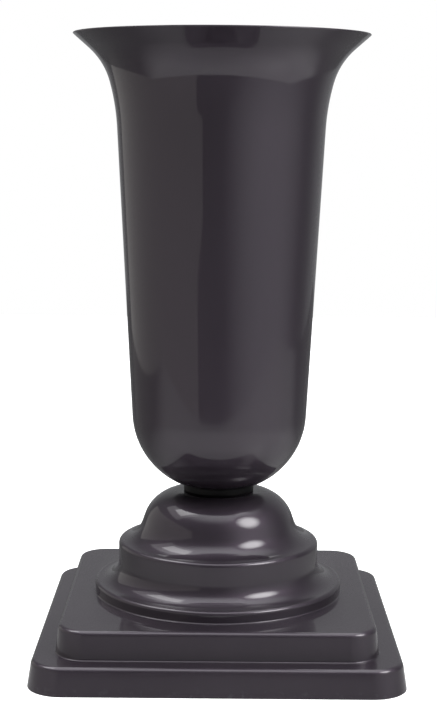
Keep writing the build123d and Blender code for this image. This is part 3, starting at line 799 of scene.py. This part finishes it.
def zinc(name, dark, light, rough, streaks):
    """Zinc on steel: metallic, streaked in tone and roughness by handling."""
    material, tree, skin = new_finish(name)
    mottle = use(tree, flow_mottle, Dark=dark, Light=light, Cloud_Size=streaks)
    tree.links.new(mottle["Colour"], skin["Base Color"])
    skin["Metallic"].default_value = 1.0
    matt = place(tree, "ShaderNodeMapRange", "dulled", Value=mottle["Cloud"],
                 To_Min=rough + 0.1, To_Max=rough)
    tree.links.new(matt.outputs[0], skin["Roughness"])
    normal = use(tree, mould_skin, Wave_Size=400.0, Wave_Depth=0.00001,
                 Grain_Size=3000.0, Grain_Depth=0.000005)["Normal"]
    tree.links.new(normal, skin["Normal"])
    return material


def cast_concrete():
    """Cement grey with sand speckle, and round air pores pressed into it as a bump."""
    material, tree, skin = new_finish("cast_concrete")
    mottle = use(tree, flow_mottle, Dark=(0.24, 0.235, 0.22, 1), Light=(0.36, 0.355, 0.335, 1),
                 Cloud_Size=25.0)
    spot = place(tree, "ShaderNodeTexCoord").outputs["Object"]
    sand = place(tree, "ShaderNodeTexNoise", "sand", Vector=spot, Scale=900.0, Detail=3.0)
    speckle = place(tree, "ShaderNodeMix", "speckle", data_type="RGBA", blend_type="MULTIPLY", Factor=0.5,
                    _6=mottle["Colour"], _7=sand.outputs["Color"])
    pores = place(tree, "ShaderNodeTexVoronoi", "air pores", Vector=spot, Scale=160.0)
    pit = place(tree, "ShaderNodeMapRange", "round pits", Value=pores.outputs["Distance"],
                From_Min=0.08, From_Max=0.22)
    rough_face = place(tree, "ShaderNodeBump", "pits", Height=pit.outputs[0], Distance=0.0008)
    gritty = place(tree, "ShaderNodeBump", "grit", Height=sand.outputs["Fac"], Distance=0.0002,
                   Normal=rough_face.outputs[0])
    tree.links.new(speckle.outputs[2], skin["Base Color"])
    tree.links.new(gritty.outputs[0], skin["Normal"])
    skin["Roughness"].default_value = 0.9
    return material


wire_finish = zinc("galvanised_wire", dark=(0.32, 0.33, 0.34, 1), light=(0.55, 0.56, 0.57, 1),
                   rough=0.32, streaks=90.0)
screw_finish = zinc("screw_zinc", dark=(0.45, 0.45, 0.44, 1), light=(0.66, 0.66, 0.65, 1),
                    rough=0.24, streaks=200.0)
concrete_finish = cast_concrete()
FINISHES = {
    "body_plastic": body_finish,
    "ring_rubber": ring_finish,
    "insert_plastic": insert_finish,
    "bail_steel": wire_finish,
    "concrete": concrete_finish,
    "cover_plastic": cover_finish,
    "screw_steel": screw_finish,
}
for piece, _, _, slot in STANDS_FOR:
    piece.data.materials.append(FINISHES[slot])
for part in frame["record"]["subparts"]:
    mesh = frame["nodes"][part["node"]].data
    mesh.materials.clear()
    mesh.materials.append(FINISHES[part["material_slot"]])
print("finishes:", sorted(m.name for m in FINISHES.values()))

# %% [markdown]
# The studio
#
# A glossy dark thing shows its surroundings more than itself, so the surroundings are laid
# out as in the photograph. A round soft light hangs right of the camera and a square one
# high on the left. A tall grey board stands along the left side, and its front edge draws
# the long straight line down the vase. The object stands on a white table whose front edge
# shows as a curve on the bowl, and past it the room is dark. The floor is white to the eye
# and a table to the reflections. To the reflections the table carries painted shade: its
# tone is painted darker behind the object and close below it, where the object's shadow
# falls, and darker at a slant. It also glows with a painted light that follows that tone.

# %% Sheets and lamps of the studio
LAMP_AIM, LAMP_AWAY, UMBRELLA_SIDES = (0, 0, 0.12), 1.3, 48


def stage_sheet(name, corners, material):
    """A flat sheet of the studio with its corners in order. It isn't part of the object."""
    mesh = bpy.data.meshes.new(name)
    mesh.from_pydata(corners, [], [tuple(range(len(corners)))])
    mesh.materials.append(material)
    sheet = bpy.data.objects.new(name, mesh)
    bpy.context.collection.objects.link(sheet)
    return sheet


def stage_material(name):
    """A material with an empty tree: returns (material, tree, the surface input of its output)."""
    material = bpy.data.materials.new(name)
    material.use_nodes = True
    tree = material.node_tree
    tree.nodes.clear()
    return material, tree, place(tree, "ShaderNodeOutputMaterial").inputs["Surface"]


def glowing_board(name, strength, colour):
    """An even glow, for a board that is seen in reflections."""
    material, tree, surface = stage_material(name)
    glow = place(tree, "ShaderNodeEmission", Color=colour, Strength=strength)
    tree.links.new(glow.outputs[0], surface)
    return material


def table_white():
    """White table: to the camera a matt sheet that also glows, to the reflections a satin one.

    The satin tone is painted shade. It grows from dark behind the object to light in front
    of it, and it is halved for rays that come down steeply, which see the table close under
    the object, and for rays that skim it: painted shade where the object's shadow falls and
    at a slant. The satin also glows with a painted light that follows this tone. Slant is 0
    straight down and 1 along the table.
    """
    material, tree, surface = stage_material("table_white")
    matt = place(tree, "ShaderNodeBsdfDiffuse", Color=TABLE_MATT)
    glow = place(tree, "ShaderNodeEmission", Color=(1, 1, 1, 1), Strength=FLOOR_GLOW)
    seen = place(tree, "ShaderNodeAddShader", _0=matt.outputs[0], _1=glow.outputs[0])
    spot = place(tree, "ShaderNodeTexCoord").outputs["Object"]
    # Painted shade: the satin tone is painted darker behind the object, close below it and at a slant.
    depth = place(tree, "ShaderNodeVectorMath", "depth of the painted shade", operation="DOT_PRODUCT",
                  _0=spot, _1=TABLE_WAY).outputs["Value"]
    lit = place(tree, "ShaderNodeMapRange", "dark behind", Value=depth, interpolation_type="SMOOTHSTEP",
                From_Min=TABLE_SHADE_SPAN[1], From_Max=TABLE_SHADE_SPAN[0], To_Min=TABLE_SHADE_TONE[0], To_Max=TABLE_SHADE_TONE[1])
    slant = place(tree, "ShaderNodeLayerWeight", Blend=0.5).outputs["Facing"]
    skim_shade = place(tree, "ShaderNodeMapRange", "painted shade at a slant", Value=slant,
                    From_Min=SKIM_SHADE_SPAN[0], From_Max=SKIM_SHADE_SPAN[1], To_Min=1.0, To_Max=0.5)
    below_shade = place(tree, "ShaderNodeMapRange", "painted shade close below", Value=slant,
                   From_Min=0.0, From_Max=BELOW_SHADE_TO, To_Min=0.5, To_Max=1.0)
    painted_shade = place(tree, "ShaderNodeMath", "painted_shade", operation="MULTIPLY",
                   _0=skim_shade.outputs[0], _1=below_shade.outputs[0])
    tone = place(tree, "ShaderNodeMath", "tone", operation="MULTIPLY",
                 _0=lit.outputs[0], _1=painted_shade.outputs[0])
    # Painted light: the satin glows by a share of its painted tone.
    painted_glow = place(tree, "ShaderNodeMath", "glow", operation="MULTIPLY",
                       _0=tone.outputs[0], _1=TABLE_PAINTED_GLOW)
    satin = place(tree, "ShaderNodeBsdfPrincipled", Base_Color=tone.outputs[0], Roughness=TABLE_ROUGH,
                  Emission_Color=(1, 1, 1, 1), Emission_Strength=painted_glow.outputs[0])
    ray = place(tree, "ShaderNodeLightPath").outputs["Is Camera Ray"]
    either = place(tree, "ShaderNodeMixShader", _0=ray, _1=satin.outputs[0], _2=seen.outputs[0])
    tree.links.new(either.outputs[0], surface)
    return material


def toward(azimuth, elevation=0.0):
    """The direction at an azimuth to the right of the camera and an elevation, both in degrees."""
    a, e = radians(azimuth), radians(elevation)
    return Vector((sin(a) * cos(e), -cos(a) * cos(e), sin(e)))


def hang(lamp, azimuth, elevation, away=LAMP_AWAY):
    """Hangs a lamp some way from the point that all lamps face, unseen by the camera."""
    bpy.context.collection.objects.link(lamp)
    way = toward(azimuth, elevation)
    lamp.location = Vector(LAMP_AIM) + away * way
    lamp.rotation_euler = way.to_track_quat("Z", "Y").to_euler()
    lamp.visible_camera = False


def soft_box(name, azimuth, elevation, size, radiance, away=LAMP_AWAY):
    """An even soft box. Its power is radiance * pi * area, which is what a flat emitter gives off."""
    light = bpy.data.lights.new(name, "AREA")
    light.shape = "RECTANGLE"
    light.size, light.size_y = size
    light.energy = radiance * pi * size[0] * size[1]
    hang(bpy.data.objects.new(name, light), azimuth, elevation, away)


def umbrella(name, azimuth, elevation, even_r, rim_r, radiance):
    """A lit umbrella: a disc whose glow is even up to one radius and fades out by its rim."""
    material, tree, surface = stage_material(name)
    spot = place(tree, "ShaderNodeTexCoord").outputs["Object"]
    out = place(tree, "ShaderNodeVectorMath", "from the middle", operation="LENGTH", _0=spot).outputs["Value"]
    fade = place(tree, "ShaderNodeMapRange", "fade", Value=out, interpolation_type="SMOOTHSTEP",
                 From_Min=even_r, From_Max=rim_r, To_Min=radiance, To_Max=0.0)
    glow = place(tree, "ShaderNodeEmission", Color=(1, 1, 1, 1), Strength=fade.outputs[0])
    tree.links.new(glow.outputs[0], surface)
    turn = np.radians(np.linspace(0, 360, UMBRELLA_SIDES + 1)[:-1])
    mesh = bpy.data.meshes.new(name)
    mesh.from_pydata([(rim_r * cos(a), rim_r * sin(a), 0) for a in turn], [], [tuple(range(len(turn)))])
    mesh.materials.append(material)
    disc = bpy.data.objects.new(name, mesh)
    hang(disc, azimuth, elevation)
    disc.visible_shadow = False


# %% Table, board and lamps
# The floor glows evenly to the camera; to the reflections the table glows with a painted light.
FLOOR_GLOW, TABLE_PAINTED_GLOW, TABLE_ROUGH = 0.66, 0.35, 0.35
TABLE_MATT = (0.9, 0.9, 0.9, 1)
# Painted shade of the table: its tone range, the depths over which it darkens behind the object, and the
# slants at which it darkens.
TABLE_SHADE_TONE, TABLE_SHADE_SPAN, TABLE_WAY = (0.10, 0.53), (-0.10, 0.17), (-0.25, 1, 0)
SKIM_SHADE_SPAN, BELOW_SHADE_TO = (0.6, 0.85), 0.3
FRONT_R, FRONT_CENTRE, FRONT_SPAN, TABLE_BACK = 1.2, (0.06, 0.72), 40, 1.5
BOARD_X, BOARD_FRONT, BOARD_STEP, BOARD_BACK = -0.75, -2.05, -1.5, 0.9
BOARD_LOW, BOARD_STEP_Z, BOARD_HIGH = -0.8, -0.12, 0.5
BOARD_GREY, BOARD_GLOW = (1, 0.98, 0.95, 1), 0.50
front_turn = np.radians(np.linspace(-FRONT_SPAN, FRONT_SPAN, 25))
front_x = FRONT_CENTRE[0] + FRONT_R * np.sin(front_turn)
front_y = FRONT_CENTRE[1] - FRONT_R * np.cos(front_turn)
table_front = [(x, y, 0) for x, y in zip(front_x, front_y)]
table_back = [(front_x[-1], TABLE_BACK, 0), (front_x[0], TABLE_BACK, 0)]
floor = stage_sheet("floor", table_front + table_back, table_white())
board_outline = [(BOARD_STEP, BOARD_LOW), (BOARD_BACK, BOARD_LOW), (BOARD_BACK, BOARD_HIGH),
                 (BOARD_FRONT, BOARD_HIGH), (BOARD_FRONT, BOARD_STEP_Z), (BOARD_STEP, BOARD_STEP_Z)]
board = stage_sheet("left_board", [(BOARD_X, y, z) for y, z in board_outline],
                    glowing_board("board_grey", BOARD_GLOW, BOARD_GREY))
board.visible_camera = False
board.visible_shadow = False
umbrella("umbrella", azimuth=58, elevation=40, even_r=0.15, rim_r=0.50, radiance=10.5)
soft_box("square_light", azimuth=-99, elevation=58, size=(0.50, 0.52), radiance=3.0)
soft_box("square_light_spill", azimuth=-104, elevation=54, size=(1.0, 0.8), radiance=0.8, away=1.32)
soft_box("back_light", azimuth=180, elevation=52, size=(0.8, 0.5), radiance=1.2)

# %% Room
ROOM_GLOW, TOP_GLOW, CEILING = 0.14, 2.4, (0.7, 0.98)
SIDE_AZIMUTH, SIDE_GLOW, SIDE_SPREAD = 54, 0.5, (0.6, 1.0)
BACK_AZIMUTH, BACK_GLOW, BACK_SPREAD = 165, 0.16, (0.6, 0.9)
ROOM_COLOUR = (0.96, 0.98, 1, 1)
world = bpy.data.worlds.new("studio")
bpy.context.scene.world = world
world.use_nodes = True
sky = world.node_tree
sky.nodes.clear()
way = place(sky, "ShaderNodeTexCoord").outputs["Generated"]


def glow_range(label, value, spread, low, high):
    """A smooth rise from low to high while the value goes through its spread."""
    return place(sky, "ShaderNodeMapRange", label, Value=value, interpolation_type="SMOOTHSTEP",
                 From_Min=spread[0], From_Max=spread[1], To_Min=low, To_Max=high).outputs[0]


def wall_glow(label, azimuth, strength, spread):
    """A soft glow centred on the horizon at an azimuth, by the cosine of the angle away from it."""
    near = place(sky, "ShaderNodeVectorMath", label, operation="DOT_PRODUCT", _0=way, _1=toward(azimuth))
    return glow_range(label, near.outputs["Value"], spread, 0.0, strength)


up = place(sky, "ShaderNodeSeparateXYZ", Vector=way).outputs["Z"]
top = glow_range("bright ceiling", up, CEILING, ROOM_GLOW, TOP_GLOW)
side = wall_glow("soft glow at the right", SIDE_AZIMUTH, SIDE_GLOW, SIDE_SPREAD)
back = wall_glow("grey wall behind", BACK_AZIMUTH, BACK_GLOW, BACK_SPREAD)
walls = place(sky, "ShaderNodeMath", "walls", operation="ADD", _0=side, _1=back)
total = place(sky, "ShaderNodeMath", "room", operation="ADD", _0=top, _1=walls.outputs[0])
room = place(sky, "ShaderNodeBackground", Color=ROOM_COLOUR, Strength=total.outputs[0])
white = place(sky, "ShaderNodeBackground", Color=(1, 1, 1, 1), Strength=1.0)
ray = place(sky, "ShaderNodeLightPath").outputs["Is Camera Ray"]
either = place(sky, "ShaderNodeMixShader", _0=ray, _1=room.outputs[0], _2=white.outputs[0])
sky.links.new(either.outputs[0], place(sky, "ShaderNodeOutputWorld").inputs["Surface"])
bpy.context.scene.view_settings.view_transform = "Standard"
